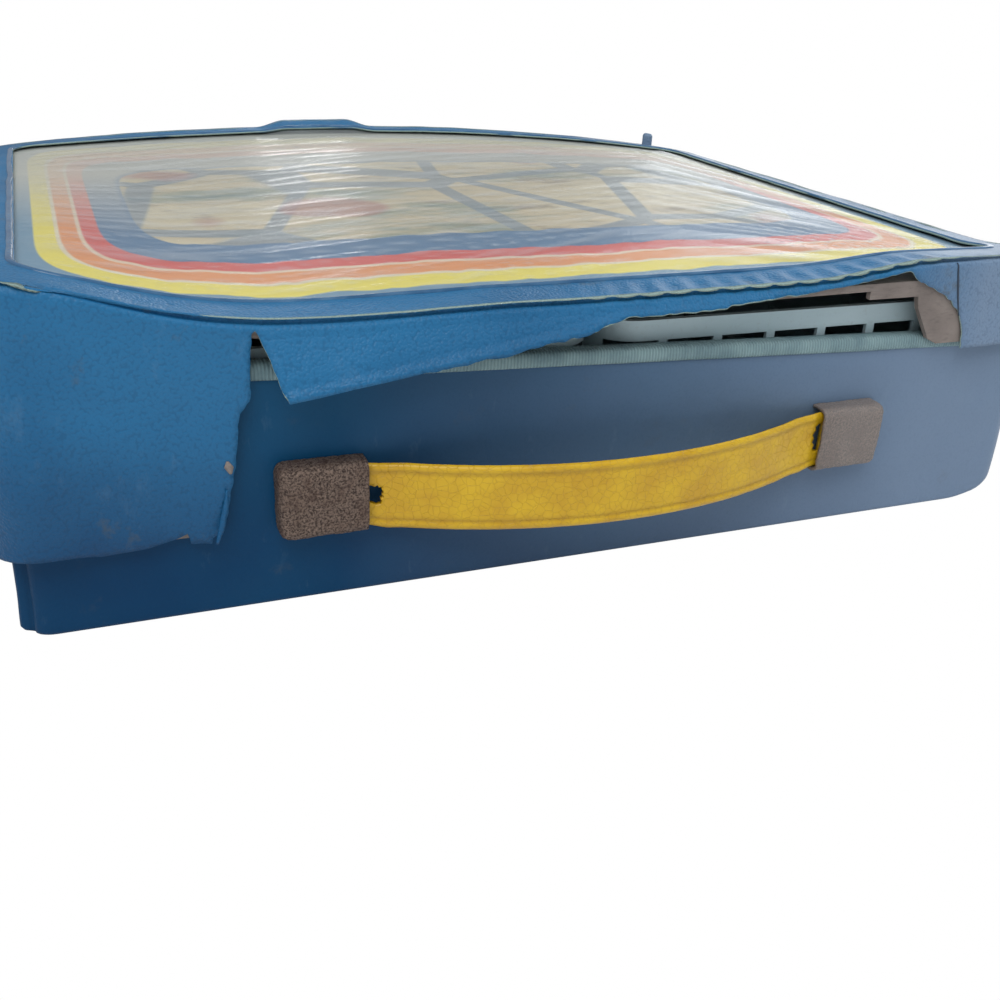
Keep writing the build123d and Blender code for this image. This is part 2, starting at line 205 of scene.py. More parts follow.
# Outlines: rounded rectangles walked from the back middle, by the left, front and right sides
straight_steps = 160
arc_steps = 24


class Outline:
    """A rounded rectangle with its points, outward normals and running length."""

    def __init__(self, half, front, back, corner, front_corner=None):
        self.half = half
        self.front = front
        self.back = back
        self.corner = corner
        self.front_corner = tight = front_corner or corner
        turns = ((-half + corner, back - corner, 90, corner), (-half + tight, front + tight, 180, tight),
                 (half - tight, front + tight, 270, tight), (half - corner, back - corner, 360, corner))
        points = []
        normals = []
        last = np.array((0.0, back))
        for centre_x, centre_y, start, radius in turns:
            first_normal = np.array((cos(radians(start)), sin(radians(start))))
            first = np.array((centre_x, centre_y)) + radius * first_normal
            for k in range(straight_steps):
                points.append(last + (first - last) * k / straight_steps)
                normals.append(first_normal)
            for k in range(arc_steps):
                angle = radians(start + 90 * k / arc_steps)
                normal = np.array((cos(angle), sin(angle)))
                points.append(np.array((centre_x, centre_y)) + radius * normal)
                normals.append(normal)
            end = radians(start + 90)
            last = np.array((centre_x, centre_y)) + radius * np.array((cos(end), sin(end)))
        for k in range(straight_steps + 1):
            points.append(last + (np.array((0.0, back)) - last) * k / straight_steps)
            normals.append(np.array((0.0, 1.0)))
        self.points = np.array(points)
        self.normals = np.array(normals)
        self.run = running_length(self.points)
        self.length = self.run[-1]

    def at(self, u, of=None):
        """Point and normal at running length u, measured along this outline or another matched one."""
        run = (of or self).run
        point = np.stack([np.interp(u, run, self.points[:, k]) for k in (0, 1)], axis=-1)
        normal = np.stack([np.interp(u, run, self.normals[:, k]) for k in (0, 1)], axis=-1)
        return point, normal / np.linalg.norm(normal, axis=-1, keepdims=True)

    def on_left(self, y):
        start = self.half - self.corner + pi / 2 * self.corner
        return start + (self.back - self.corner - y)

    def on_front(self, x):
        start = self.on_left(self.front + self.front_corner) + pi / 2 * self.front_corner
        return start + (x + self.half - self.front_corner)

    def on_right(self, y):
        start = self.on_front(self.half - self.front_corner) + pi / 2 * self.front_corner
        return start + (y - self.front - self.front_corner)


lid_outline = Outline(lid_half, lid_front, lid_back, lid_corner, lid_front_corner)
window_outline = Outline(window_half, window_front, window_back, window_corner, window_front_corner)
tub_outline = Outline(tub_half, tub_front, tub_back, tub_corner)
tub_wide = Outline(tub_half + tub_bulge, tub_front, tub_back, tub_corner, tub_front_corner)


# Mesh helpers
def put(name, data):
    """A new object in the scene."""
    made = bpy.data.objects.new(name, data)
    bpy.context.scene.collection.objects.link(made)
    return made


def new_piece(name, points, faces, *materials):
    """A smooth-shaded mesh object from points in millimetres."""
    mesh = bpy.data.meshes.new(name)
    mesh.from_pydata([tuple(p * MM) for p in np.asarray(points, float)], [], [tuple(f) for f in faces])
    mesh.validate()
    mesh.polygons.foreach_set("use_smooth", [True] * len(mesh.polygons))
    mesh.update()
    for material in materials:
        mesh.materials.append(material)
    return put(name, mesh)


def face_outwards(piece):
    """Turn the faces so that their normals point away from the case's middle."""
    centre = Vector((0, 0, 45 * MM))
    if sum(p.normal.dot(p.center - centre) * p.area for p in piece.data.polygons) < 0:
        piece.data.flip_normals()


def face_front(piece):
    """Turn the faces so that most of them look to the front."""
    if sum(p.normal.y * p.area for p in piece.data.polygons) > 0:
        piece.data.flip_normals()


def mark_points(piece, name, values):
    """Give the piece's points a value each, for its material to read."""
    mark = piece.data.attributes.new(name, "FLOAT", "POINT")
    mark.data.foreach_set("value", np.asarray(values, np.float32))


def weld(piece, distance):
    """Join vertices that lie together, in millimetres."""
    bm = bmesh.new()
    bm.from_mesh(piece.data)
    bmesh.ops.remove_doubles(bm, verts=bm.verts, dist=distance * MM)
    bm.to_mesh(piece.data)
    bm.free()


def apply_modifiers(piece):
    """Replace the piece's mesh by its evaluated mesh."""
    depsgraph = bpy.context.evaluated_depsgraph_get()
    made = bpy.data.meshes.new_from_object(piece.evaluated_get(depsgraph))
    piece.modifiers.clear()
    piece.data = made


def thicken(piece, thickness, lined=False):
    """Give a sheet its thickness on the side away from its normals, lined with its second material."""
    solid = piece.modifiers.new("thickness", "SOLIDIFY")
    solid.thickness = thickness * MM
    solid.offset = -1
    solid.use_even_offset = False
    if lined:
        solid.material_offset = 1
        solid.material_offset_rim = 1
    apply_modifiers(piece)


def grid_faces(rows, columns, closed=False):
    """Quads of a grid of points stored row by row, joined round if closed."""
    faces = []
    for r in range(rows - 1):
        for c in range(columns if closed else columns - 1):
            d = (c + 1) % columns
            faces.append((r * columns + c, r * columns + d, (r + 1) * columns + d, (r + 1) * columns + c))
    return faces


def divided(points, step, closed=True):
    """A closed polygon or an open line with extra points, so that no edge is longer than step."""
    points = [np.asarray(p, float) for p in points]
    out = []
    for p, q in zip(points, points[1:] + points[:1] if closed else points[1:]):
        n = max(1, int(np.ceil(np.linalg.norm(q - p) / step)))
        out += [p + (q - p) * k / n for k in range(n)]
    return out if closed else out + points[-1:]


def inside(points, loop):
    """Which points lie inside a closed polygon."""
    x, y = points[:, 0], points[:, 1]
    loop = np.asarray(loop)
    hits = np.zeros(len(points), bool)
    for (x0, y0), (x1, y1) in zip(loop, np.roll(loop, -1, axis=0)):
        if y0 == y1:
            continue
        crossing = (y0 > y) != (y1 > y)
        hits ^= crossing & (x < (x1 - x0) * (y - y0) / (y1 - y0) + x0)
    return hits


def near_loop(points, loop, distance):
    """Which points lie within a distance of a closed polygon's corners."""
    tree = kdtree.KDTree(len(loop))
    for i, p in enumerate(loop):
        tree.insert((p[0], p[1], 0), i)
    tree.balance()
    return np.array([tree.find((p[0], p[1], 0))[2] < distance for p in points])


def cut_sheet(loops, step):
    """A flat sheet cut to the outer loop less the holes, as points and triangles of about one size."""
    outer = np.asarray(loops[0])
    low, high = outer.min(axis=0), outer.max(axis=0)
    row = step * 0.866
    xs = np.arange(low[0], high[0], step)
    ys = np.arange(low[1], high[1], row)
    lattice = np.array([(x + step / 2 * (k % 2), y) for k, y in enumerate(ys) for x in xs])
    keep = inside(lattice, outer)
    for hole in loops[1:]:
        keep &= ~inside(lattice, hole)
    lattice = lattice[keep]
    for loop in loops:
        lattice = lattice[~near_loop(lattice, loop, 0.55 * step)]
    points = []
    edges = []
    for loop in loops:
        first = len(points)
        points += [tuple(p) for p in loop]
        edges += [(first + k, first + (k + 1) % len(loop)) for k in range(len(loop))]
    points += [tuple(p) for p in lattice]
    flat, _, triangles, *_ = geometry.delaunay_2d_cdt([Vector(p) for p in points], edges, [], 0, 1e-4)
    flat = np.array([tuple(p) for p in flat])
    triangles = np.array([tuple(t) for t in triangles])
    centres = flat[triangles].mean(axis=1)
    keep = inside(centres, outer)
    for hole in loops[1:]:
        keep &= ~inside(centres, hole)
    return flat, triangles[keep]


def displaced(place, uv, offset):
    """The sheet's points, moved out along the surface's normal by the offset."""
    e = 0.2
    p = place(uv[:, 0], uv[:, 1])
    du = place(uv[:, 0] + e, uv[:, 1]) - place(uv[:, 0] - e, uv[:, 1])
    dv = place(uv[:, 0], uv[:, 1] + e) - place(uv[:, 0], uv[:, 1] - e)
    normal = np.cross(dv, du)
    normal /= np.maximum(np.linalg.norm(normal, axis=1, keepdims=True), 1e-9)
    return p + normal * offset[:, None]


# Materials
def new_material(name):
    """A material with its node tree and shader."""
    material = bpy.data.materials.new(name)
    material.use_nodes = True
    tree = material.node_tree
    return material, tree, tree.nodes["Principled BSDF"]


def set_inputs(tree, node, inputs):
    """Link or set a node's inputs. A colour may be an rgb tuple."""
    for key, value in inputs.items():
        socket = node.inputs[key]
        if isinstance(value, bpy.types.NodeSocket):
            tree.links.new(value, socket)
        elif socket.type == "RGBA" and len(value) == 3:
            socket.default_value = (*value, 1)
        else:
            socket.default_value = value


def add_node(tree, kind, inputs, **settings):
    node = tree.nodes.new("ShaderNode" + kind)
    for key, value in settings.items():
        setattr(node, key, value)
    set_inputs(tree, node, inputs)
    return node


def position(tree, scale=(1, 1, 1), turn=(0, 0, 0)):
    """Object coordinates in millimetres, stretched and turned."""
    coords = add_node(tree, "TexCoord", {})
    grow = tuple(s / MM for s in scale)
    rotation = tuple(radians(t) for t in turn)
    inputs = {"Vector": coords.outputs["Object"], "Scale": grow, "Rotation": rotation}
    return add_node(tree, "Mapping", inputs).outputs["Vector"]


def noise_node(tree, scale, detail, rough=0.55, stretch=(1, 1, 1), turn=(0, 0, 0)):
    """Noise with scale features per millimetre."""
    inputs = {"Vector": position(tree, stretch, turn), "Scale": scale, "Detail": detail, "Roughness": rough}
    return add_node(tree, "TexNoise", inputs).outputs["Fac"]


def ramp(tree, value, low, high, out_low=0.0, out_high=1.0):
    inputs = {"Value": value, "From Min": low, "From Max": high, "To Min": out_low, "To Max": out_high}
    return add_node(tree, "MapRange", inputs, clamp=True).outputs["Result"]


def axis(tree, name):
    """One object coordinate in millimetres."""
    return add_node(tree, "SeparateXYZ", {"Vector": position(tree)}).outputs[name]


def mixed(tree, factor, a, b):
    """Colour a where factor is 0 and b where it is 1."""
    return add_node(tree, "Mix", {0: factor, 6: a, 7: b}, data_type="RGBA").outputs[2]


def combined(tree, operation, *values):
    return add_node(tree, "Math", dict(enumerate(values)), operation=operation).outputs[0]


def bump(tree, height, distance, **under):
    """A bump of the given depth in millimetres, over another normal if there is one."""
    return add_node(tree, "Bump", {"Height": height, "Distance": distance * MM, **under}).outputs["Normal"]


def cell_edges(tree, scale, stretch=(1, 1, 1), turn=(0, 0, 0)):
    """Distance to the edges of random cells."""
    inputs = {"Vector": position(tree, stretch, turn), "Scale": scale}
    return add_node(tree, "TexVoronoi", inputs, feature="DISTANCE_TO_EDGE").outputs["Distance"]


def point_value(tree, name):
    """A value that the piece's points carry."""
    return add_node(tree, "Attribute", {}, attribute_name=name).outputs["Fac"]


def pebble(tree, cell):
    """Pebble grain of vinyl: rounded cells with fine valleys."""
    wander = noise_node(tree, 0.5, 2)
    inputs = {0: wander, 1: (0.8, 0.8, 0.8), 2: position(tree)}
    where = add_node(tree, "VectorMath", inputs, operation="MULTIPLY_ADD").outputs[0]
    inputs = {"Vector": where, "Scale": 1 / cell, "Smoothness": 0.6}
    cells = add_node(tree, "TexVoronoi", inputs, feature="SMOOTH_F1")
    return ramp(tree, cells.outputs["Distance"], 0.1, 0.75, 1.0, 0.0)


def vinyl_material(name, deep, light, shine, grain_depth, grain_cell, stains, painted_sheen_from, painted_sheen_to):
    """Blue vinyl: pebble grain, painted top light, a painted sheen to the right, painted shade in the grain,
    scuffs and stains.
    """
    material, tree, shader = new_material(name)
    drift = ramp(tree, noise_node(tree, 0.012, 3), 0.35, 0.65, 0.0, 0.5)
    # Painted light: the colour gets paler upwards, where more light falls from above.
    height = ramp(tree, axis(tree, "Z"), 20.0, 92.0, 0.0, 0.7)
    colour = mixed(tree, combined(tree, "ADD", drift, height), deep, light)
    # Painted sheen: paler blue-grey towards the right end, standing in for the glare and sheen of a bright
    # light at the right.
    painted_sheen = ramp(tree, axis(tree, "X"), painted_sheen_from, painted_sheen_to, 0.0, 0.85)
    colour = mixed(tree, painted_sheen, colour, (0.205, 0.280, 0.390))
    grain = pebble(tree, grain_cell)
    # Painted shade in the hollows of the pebble grain.
    painted_valley_shade = ramp(tree, grain, 0.0, 0.35, 1.5 * grain_depth, 0.0)
    colour = mixed(tree, painted_valley_shade, colour, tuple(c * 0.45 for c in deep))
    scuff = ramp(tree, noise_node(tree, 0.09, 6, 0.7, stretch=(1, 1, 0.4)), 0.6, 0.78, 0.0, 0.12)
    colour = mixed(tree, scuff, colour, (0.30, 0.42, 0.52))
    spots = ramp(tree, noise_node(tree, 0.055, 5, 0.65), 0.62, 0.74, 0.0, stains)
    colour = mixed(tree, spots, colour, (0.10, 0.10, 0.075))
    rough = ramp(tree, noise_node(tree, 0.05, 4), 0.3, 0.7, 0.36, 0.5)
    folds = bump(tree, noise_node(tree, 0.06, 3), 0.8)
    set_inputs(tree, shader, {"Base Color": colour, "Roughness": rough, "Specular IOR Level": shine,
                              "Normal": bump(tree, grain, grain_depth, Normal=folds)})
    return material


def backing_material():
    """Pale green cloth backing of the vinyl, fuzzy at its edges."""
    material, tree, shader = new_material("vinyl_backing")
    fuzz = noise_node(tree, 1.6, 4, 0.7)
    colour = mixed(tree, ramp(tree, fuzz, 0.35, 0.65), (0.22, 0.33, 0.30), (0.42, 0.54, 0.48))
    set_inputs(tree, shader, {"Base Color": colour, "Roughness": 0.95, "Normal": bump(tree, fuzz, 0.35)})
    return material


def cardboard_material(dark, pale):
    """Raw brown card with fibres and a worn, dusty surface."""
    material, tree, shader = new_material("cardboard")
    fibre = noise_node(tree, 1.1, 5, 0.7, stretch=(0.25, 1, 1), turn=(0, 0, 12))
    blotch = noise_node(tree, 0.05, 4)
    colour = mixed(tree, ramp(tree, blotch, 0.35, 0.65), dark, pale)
    colour = mixed(tree, ramp(tree, fibre, 0.5, 0.75, 0.0, 0.45), colour, tuple(c * 0.5 for c in dark))
    set_inputs(tree, shader, {"Base Color": colour, "Roughness": 0.9, "Normal": bump(tree, fibre, 0.2)})
    return material


def plastic_material(base, shade):
    """Moulded tray plastic with faint flow marks and dust."""
    material, tree, shader = new_material("tray_plastic")
    flow = noise_node(tree, 0.06, 4, stretch=(0.3, 1, 1))
    dust = noise_node(tree, 0.5, 5, 0.7)
    colour = mixed(tree, ramp(tree, flow, 0.35, 0.65), base, shade)
    colour = mixed(tree, ramp(tree, dust, 0.55, 0.75, 0.0, 0.3), colour, (0.30, 0.32, 0.30))
    set_inputs(tree, shader, {"Base Color": colour, "Roughness": ramp(tree, dust, 0.3, 0.7, 0.38, 0.55),
                              "Normal": bump(tree, flow, 0.1)})
    return material


def hem_material():
    """Pale green ribbed tape: ribs across its length, from its own map, with painted shade between the ribs.
    """
    material, tree, shader = new_material("hem_tape")
    run = add_node(tree, "UVMap", {}, uv_map="run").outputs["UV"]
    inputs = {"Vector": run, "Scale": 0.3, "Distortion": 0.4}
    ribs = add_node(tree, "TexWave", inputs, bands_direction="X").outputs["Fac"]
    # Dirt in random darker patches.
    groove_shade_and_grime = noise_node(tree, 0.08, 5, 0.65)
    colour = mixed(tree, ramp(tree, groove_shade_and_grime, 0.4, 0.65), (0.27, 0.40, 0.42), (0.17, 0.27, 0.30))
    # Painted shade between the ribs.
    colour = mixed(tree, ramp(tree, ribs, 0.0, 0.6, 0.4, 0.0), colour, (0.08, 0.14, 0.16))
    set_inputs(tree, shader, {"Base Color": colour, "Roughness": 0.75, "Normal": bump(tree, ribs, 0.25)})
    return material


def metal_material():
    """Once-plated metal, pitted and brown, paler towards the right."""
    material, tree, shader = new_material("pitted_metal")
    pits = noise_node(tree, 1.5, 4, 0.75)
    blotch = noise_node(tree, 0.16, 3)
    colour = mixed(tree, ramp(tree, pits, 0.42, 0.58), (0.030, 0.016, 0.012), (0.25, 0.180, 0.140))
    rust = ramp(tree, blotch, 0.45, 0.65, 0.0, 0.5)
    colour = mixed(tree, rust, colour, (0.075, 0.040, 0.028))
    paler_towards_right = ramp(tree, axis(tree, "X"), 40.0, 90.0, 0.0, 0.45)
    colour = mixed(tree, paler_towards_right, colour, (0.40, 0.375, 0.36))
    set_inputs(tree, shader, {"Base Color": colour, "Roughness": ramp(tree, pits, 0.4, 0.65, 0.75, 0.38),
                              "Metallic": ramp(tree, pits, 0.45, 0.62, 0.15, 0.7),
                              "Normal": bump(tree, pits, 0.35)})
    return material


def strap_material():
    """Yellow moulded strap with crazing, painted shade in its grooves and dirt specks."""
    material, tree, shader = new_material("strap_yellow")
    cracks = ramp(tree, cell_edges(tree, 0.42), 0.0, 0.05, 1.0, 0.0)
    blotch = noise_node(tree, 0.09, 4, 0.6)
    specks = ramp(tree, noise_node(tree, 0.55, 5, 0.8, stretch=(0.5, 1, 1)), 0.66, 0.72)
    patch = ramp(tree, noise_node(tree, 0.05, 2), 0.5, 0.62)
    colour = mixed(tree, ramp(tree, blotch, 0.35, 0.65), (0.59, 0.335, 0.006), (0.70, 0.44, 0.010))
    colour = mixed(tree, combined(tree, "MULTIPLY", cracks, 0.28), colour, (0.42, 0.24, 0.01))
    dirt = combined(tree, "MULTIPLY", specks, patch)
    colour = mixed(tree, combined(tree, "MULTIPLY", dirt, 0.75), colour, (0.16, 0.09, 0.02))
    # Painted shade: the grooves beside the ridges are darkened.
    groove_shade_and_grime = combined(tree, "MULTIPLY", point_value(tree, "groove"), 0.55)
    colour = mixed(tree, groove_shade_and_grime, colour, (0.33, 0.18, 0.01))
    uneven = bump(tree, blotch, 0.25)
    set_inputs(tree, shader, {"Base Color": colour, "Roughness": ramp(tree, blotch, 0.3, 0.7, 0.34, 0.5),
                              "Normal": bump(tree, cracks, -0.08, Normal=uneven)})
    return material


def bead_material():
    """Welded seam: clear vinyl pressed into blue."""
    material, tree, shader = new_material("weld_seam")
    drift = noise_node(tree, 0.1, 4)
    colour = mixed(tree, ramp(tree, drift, 0.35, 0.65), (0.020, 0.095, 0.210), (0.060, 0.160, 0.290))
    set_inputs(tree, shader, {"Base Color": colour, "Roughness": 0.22, "Normal": bump(tree, drift, 0.4)})
    return material


def window_material():
    """Clear vinyl, hazy: whiter along its creases, crease whitening with painted highlight streaks, and
    hazier towards the back, with a painted reflection of the sky.
    """
    material, tree, shader = new_material("clear_vinyl")
    scuffs = noise_node(tree, 0.35, 6, 0.75, stretch=(0.3, 1, 1), turn=(0, 0, 20))
    # Whiter along the crease crests: crease whitening of the vinyl together with painted highlight streaks.
    haze_and_painted_sheen = combined(tree, "ADD", combined(tree, "MULTIPLY", point_value(tree, "crease"), 0.45),
                    ramp(tree, scuffs, 0.5, 0.8, 0.0, 0.16))
    # Hazier towards the back: the vinyl's own milkiness together with a painted reflection of the sky at
    # grazing angles.
    haze_and_painted_sheen = combined(tree, "ADD", haze_and_painted_sheen, ramp(tree, axis(tree, "Y"), window_front, window_back, 0.06, 0.24))
    set_inputs(tree, shader, {"Base Color": (0.74, 0.80, 0.82), "Roughness": 0.2, "Specular IOR Level": 0.6,
                              "Coat Weight": 0.35, "Coat Roughness": 0.05, "Alpha": haze_and_painted_sheen,
                              "Normal": bump(tree, scuffs, 0.12)})
    return material


def seam_material():
    """The dark line of a seam."""
    material, tree, shader = new_material("dark_seam")
    set_inputs(tree, shader, {"Base Color": (0.03, 0.05, 0.08), "Roughness": 0.6})
    return material


def card_material():
    """Generic print: a striped frame round a plain road map in tan, olive, teal and grey blue."""
    material, tree, shader = new_material("printed_card")
    ripple = noise_node(tree, 0.055, 2, stretch=(1, 0.35, 1))
    wave = combined(tree, "MULTIPLY", combined(tree, "SUBTRACT", ripple, 0.5), 9.0)
    y = axis(tree, "Y")
    middle_y = (window_front + window_back) / 2
    half_y = (window_back - window_front) / 2
    across = combined(tree, "SUBTRACT", window_half, combined(tree, "ABSOLUTE", axis(tree, "X")))
    from_middle = combined(tree, "ABSOLUTE", combined(tree, "SUBTRACT", y, middle_y))
    along = combined(tree, "ADD", combined(tree, "SUBTRACT", half_y, from_middle), wave)
    along = combined(tree, "MULTIPLY", along, 0.58)
    inset = combined(tree, "SMOOTH_MIN", across, along, 26.0)
    land = noise_node(tree, 0.03, 5, 0.6, stretch=(0.35, 1, 1), turn=(0, 0, 8))
    detail = noise_node(tree, 0.075, 6, 0.7, stretch=(0.4, 1, 1), turn=(0, 0, -6))
    tint = add_node(tree, "ValToRGB", {"Fac": land})
    stops = ((0.30, (0.13, 0.20, 0.20)), (0.40, (0.30, 0.31, 0.22)), (0.47, (0.50, 0.42, 0.27)),
             (0.60, (0.58, 0.51, 0.34)), (0.70, (0.32, 0.26, 0.18)))
    elements = tint.color_ramp.elements
    while len(elements) < len(stops):
        elements.new(0.5)
    for element, (place, colour) in zip(elements, stops):
        element.position = place
        element.color = (*colour, 1)
    field = tint.outputs["Color"]
    field = mixed(tree, ramp(tree, detail, 0.56, 0.66, 0.0, 0.75), field, (0.24, 0.19, 0.13))
    field = mixed(tree, ramp(tree, detail, 0.44, 0.34, 0.0, 0.7), field, (0.48, 0.43, 0.33))
    roads = cell_edges(tree, 0.017, stretch=(1, 0.8, 1), turn=(0, 0, 17))
    road = ramp(tree, roads, 0.045, 0.06, 1.0, 0.0)
    field = mixed(tree, combined(tree, "MULTIPLY", road, 0.8), field, (0.16, 0.21, 0.25))
    patch = ramp(tree, noise_node(tree, 0.016, 1), 0.58, 0.62, 0.0, 0.75)
    field = mixed(tree, patch, field, (0.36, 0.16, 0.13))
    colour = (0.14, 0.26, 0.36)
    bands = ((5.0, (0.72, 0.62, 0.10)), (11.0, (0.68, 0.60, 0.42)), (12.2, (0.68, 0.27, 0.09)),
             (17.5, (0.68, 0.54, 0.38)), (18.7, (0.58, 0.09, 0.07)), (24.0, (0.07, 0.16, 0.28)),
             (36.0, field))
    for depth, tone in bands:
        colour = mixed(tree, ramp(tree, inset, depth - 0.3, depth + 0.3), colour, tone)
    # Paler towards the back, most on the striped frame.
    paler_backwards = combined(tree, "MULTIPLY", ramp(tree, y, middle_y - 50, middle_y + 50, 0.0, 0.8),
                     ramp(tree, inset, 34.0, 38.0, 1.0, 0.2))
    colour = mixed(tree, paler_backwards, colour, (0.56, 0.53, 0.43))
    set_inputs(tree, shader, {"Base Color": colour, "Roughness": 0.5})
    return material


lid_vinyl = vinyl_material("lid_vinyl", deep=(0.001, 0.040, 0.122), light=(0.018, 0.155, 0.335), shine=0.28,
                           grain_depth=0.13, grain_cell=0.85, stains=0.6, painted_sheen_from=98, painted_sheen_to=140)
tub_vinyl = vinyl_material("tub_vinyl", deep=(0.001, 0.038, 0.110), light=(0.006, 0.076, 0.172), shine=0.14,
                           grain_depth=0.03, grain_cell=0.8, stains=0.2, painted_sheen_from=-85, painted_sheen_to=127)
backing = backing_material()
cardboard = cardboard_material(dark=(0.185, 0.155, 0.140), pale=(0.290, 0.248, 0.222))
tray_plastic = plastic_material(base=(0.52, 0.66, 0.70), shade=(0.43, 0.57, 0.61))
hem_tape = hem_material()
pitted_metal = metal_material()
strap_yellow = strap_material()
weld_seam = bead_material()
clear_vinyl = window_material()
dark_seam = seam_material()
printed_card = card_material()


# Vinyl cover of the lid, with its torn front skirt and the flap that still hangs from its crease
lid_edge_round = 3.0
border_run = 16.0
crease_depth = 2.6
flap_left = -106.5
flap_right = 104.0
groove_depth = 0.8
pucker_depth = 1.0
pucker_pitch = 9.4
hem_roll = 0.9
sheet_step = 1.6


def front_crease(x):
    """Where the crease runs along the front, as the distance down past the lid's top edge."""
    return np.interp(x, (-168, -150, -112, 110, 150), (-5.0, -2.0, -0.7, -0.7, -1.2))


def flap_tilt(x):
    """How far the torn flap turns out from the wall, in degrees."""
    return np.interp(x, (-110, -60, -10, 20, 60, 92, 104), (24, 27, 36, 50, 62, 48, 0))


def place_cover(u, v):
    """Point of the lid's cover at running length u, with v below 0 on the border and above 0 on the skirt."""
    point, normal = lid_outline.at(u)
    inner, _ = window_outline.at(u, lid_outline)
    t = np.clip(-v / border_run, 0, 1.4)[:, None]
    reach = lid_edge_round
    turn = np.clip((v + reach) / (2 * reach), 0, 1) * pi / 2
    out = np.where(v < -reach, 0, -reach + reach * np.sin(turn))
    down = np.where(v < -reach, 0, np.where(v > reach, v, reach - reach * np.cos(turn)))
    border = point + (inner - point) * t
    edge = point + normal * out[:, None]
    near = np.clip((v + 2 * reach) / reach, 0, 1)[:, None]
    flat = border * (1 - near) + edge * near
    flat = np.where((v > -reach)[:, None], edge, flat)
    z = lid_top(flat[:, 0], flat[:, 1]) - down
    front = normal[:, 1] < -0.999
    hanging = front & (point[:, 0] > flap_left - 0.6) & (point[:, 0] < flap_right) & (v > crease_depth)
    tilt = np.radians(flap_tilt(point[:, 0]))
    length = np.where(hanging, v - crease_depth, 0)
    flat[:, 1] -= length * np.sin(tilt)
    z = np.where(hanging, lid_top(point[:, 0], point[:, 1]) - crease_depth - length * np.cos(tilt), z)
    return np.column_stack((flat, z))


def hang(u, z):
    """The skirt coordinate of a point at height z."""
    point, _ = lid_outline.at(np.array([u]))
    return float(lid_top(point[0, 0], point[0, 1]) - z)


def ragged(points, amount, seed):
    """An open line with extra points, moved about a little like a torn edge."""
    # Without a seed, noise_vector shifts with the clock
    noise.seed_set(seed)
    out = np.array(divided(points, 0.9, closed=False))
    stir = np.array([noise.noise_vector(Vector((p[0] / 3.1 + seed, p[1] / 3.1, seed))) for p in out])
    out[1:-1] += stir[1:-1, :2] * amount * 2
    return [tuple(p) for p in out]


def hung(line):
    """Points (u, z) on the skirt as (u, v)."""
    return [(u, hang(u, z)) for u, z in line]


def cover_loop():
    """The cover's cut outline as (u, v)."""
    length = lid_outline.length
    front = lid_outline.on_front
    left = lid_outline.on_left
    right = lid_outline.on_right
    step_y = lid_back - lid_corner
    loop = [(0.0, -border_run), (length, -border_run)]
    low = [(length, lid_back_low), (right(step_y), lid_back_low), (right(step_y), skirt_low_right + 2),
           (right(step_y - 2), skirt_low_right), (right(-114), skirt_low_right),
           (right(-118), skirt_low_right + 3), (right(-120), skirt_low_front - 4),
           (right(-120) - 4, skirt_low_front), (front(134), skirt_low_front)]
    loop += hung(low)
    wrap = [(134, 62.5), (133.6, 68), (131, 74), (126, 79.5), (119, 83.5), (111, 86.5)]
    torn = hung([(front(x), z) for x, z in wrap])
    lip = ((105, 2.2), (96, 2.4), (84, 2.6), (72, 2.8), (62, 3.6), (52, 4.4), (40, 5.4), (26, 6.4), (12, 6.4),
           (2, 6.6), (-5, 7.6), (-9, 9.6), (-16, 11.0), (-26, 12.4), (-40, 14.3), (-64, 16.8))
    torn += [(front(x), v) for x, v in lip]
    loop += ragged(torn, 0.35, 4)
    loop += [(front(-83), 19.0), (front(-99.5), 21.6)]
    cut = [(-99.8, 21.5), (-101.5, 17), (-103.4, 10.5), (-105.6, 4.5), (-106.6, 2.2)]
    loop += ragged([(front(x), v) for x, v in cut], 0.2, 9)
    tear = [(-107.4, 84.5), (-108.6, 66), (-111.5, 62.5), (-112.5, 55), (-114.5, 42), (-117, 31),
            (-117.6, 28), (-120.5, 26.4), (-121, 24.6), (-124, 25.2), (-126.5, 25.6), (-127.4, 28.6)]
    loop += ragged(hung([(front(x), z) for x, z in tear]), 0.3, 2)
    rest = [(front(-130), 27.5), (front(-138), skirt_low_left + 0.6), (front(-150), skirt_low_left),
            (left(-112), skirt_low_left), (left(step_y - 2), skirt_low_left),
            (left(step_y), skirt_low_left + 2), (left(step_y), lid_back_low), (0.0, lid_back_low)]
    loop += hung(rest)
    return divided(loop, sheet_step)


